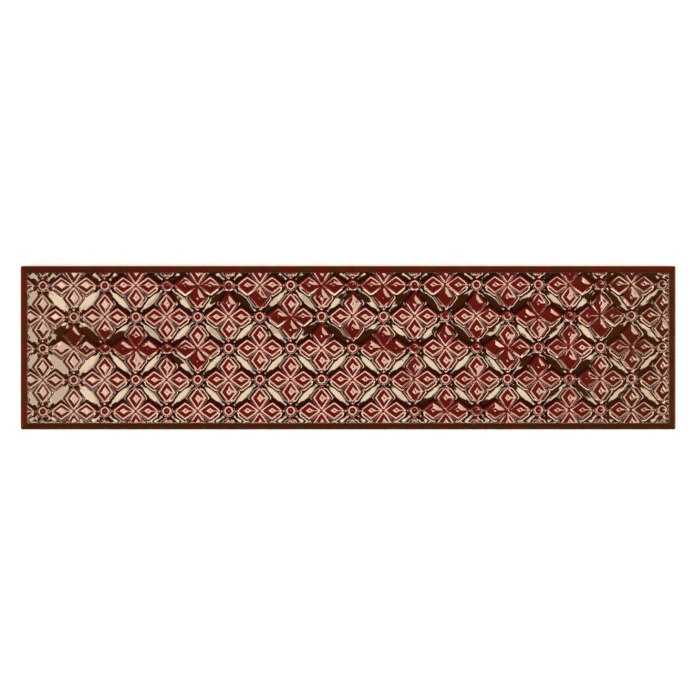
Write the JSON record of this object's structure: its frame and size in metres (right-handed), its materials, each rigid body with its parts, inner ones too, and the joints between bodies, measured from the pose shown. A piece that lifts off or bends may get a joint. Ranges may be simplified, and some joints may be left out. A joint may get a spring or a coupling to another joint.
{
  "type": "decorative wall tile",
  "caption": "Long glazed ceramic wall tile, moulded with a lattice of four-petalled flowers and ring bosses inside a bevelled rim, with keying pockets on its back.",
  "frame": {"origin": "middle of the back, on the plane that the tile rests on", "axes": "+X along the tile's length, +Y across its width, +Z out through the glazed face"},
  "size_m": [0.3, 0.075, 0.0096],
  "materials": {
    "glazed_body": "gloss"
  },
  "bodies": {
    "root": {"tile": "glazed_body"}
  },
  "joints": []
}
